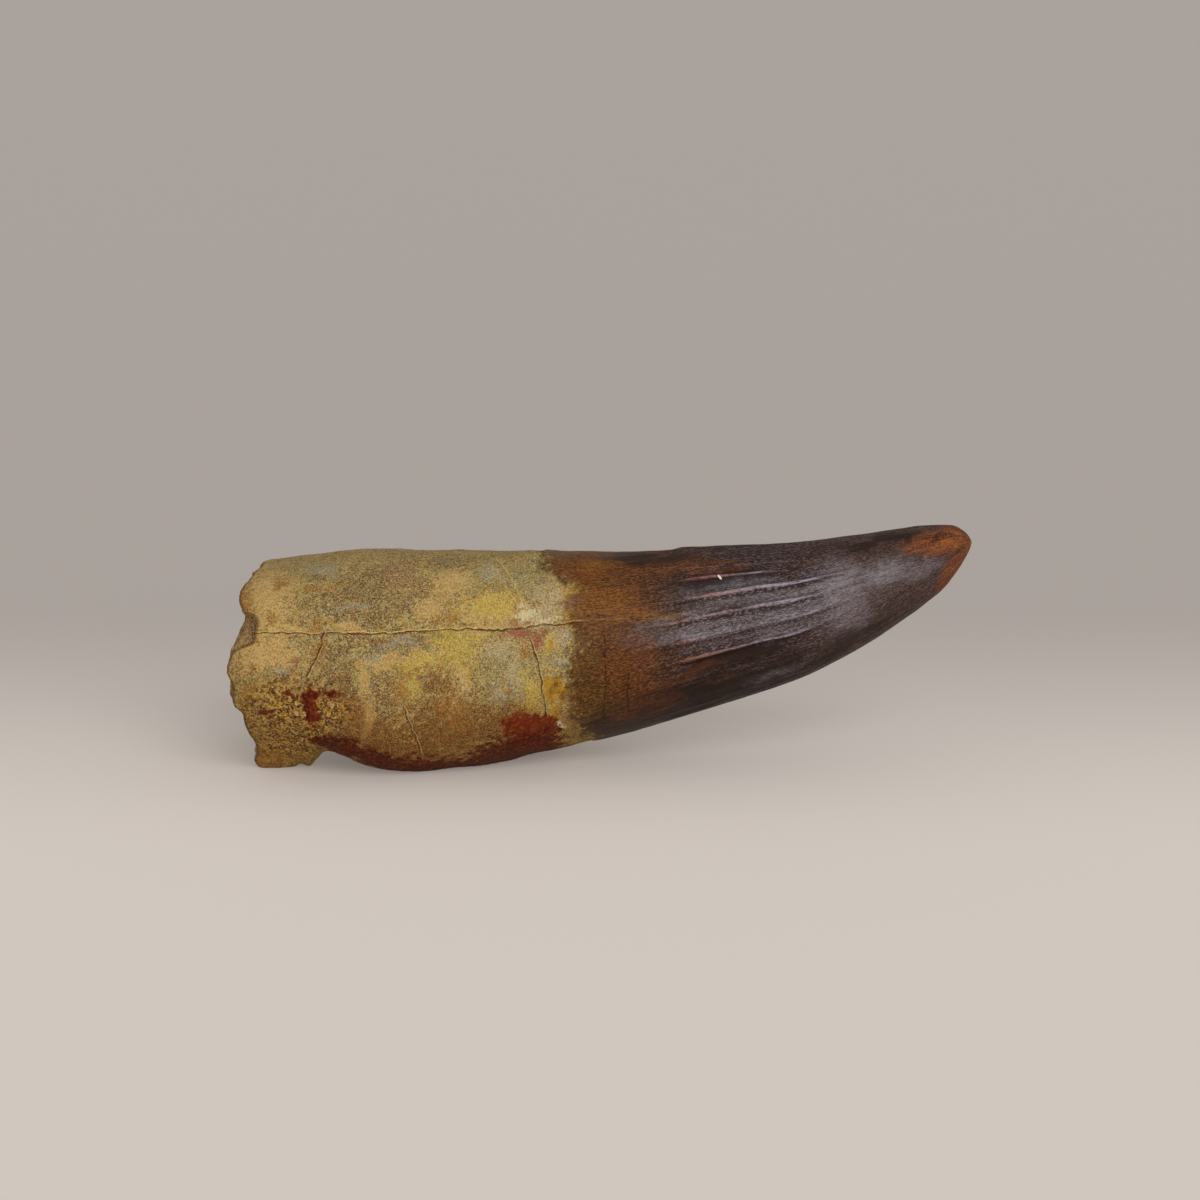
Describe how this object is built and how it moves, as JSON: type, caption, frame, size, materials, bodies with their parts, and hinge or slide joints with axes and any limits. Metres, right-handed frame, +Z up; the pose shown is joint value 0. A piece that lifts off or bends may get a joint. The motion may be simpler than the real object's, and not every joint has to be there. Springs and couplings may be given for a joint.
{
  "type": "fossil spinosaurus tooth",
  "caption": "Fossil tooth of a fish-eating dinosaur: a curved, fluted crown with a worn tip on a thick, cracked root, lying on its convex edge.",
  "frame": {"origin": "below the middle of the tooth's box, on the surface that it rests on", "axes": "+X along the tooth towards the tip, +Z up, the better preserved flank faces -Y"},
  "size_m": [0.12, 0.0386, 0.0392],
  "materials": {
    "fossil": "semi-gloss enamel, matt root"
  },
  "bodies": {
    "root": {"tooth": "fossil"}
  },
  "joints": []
}
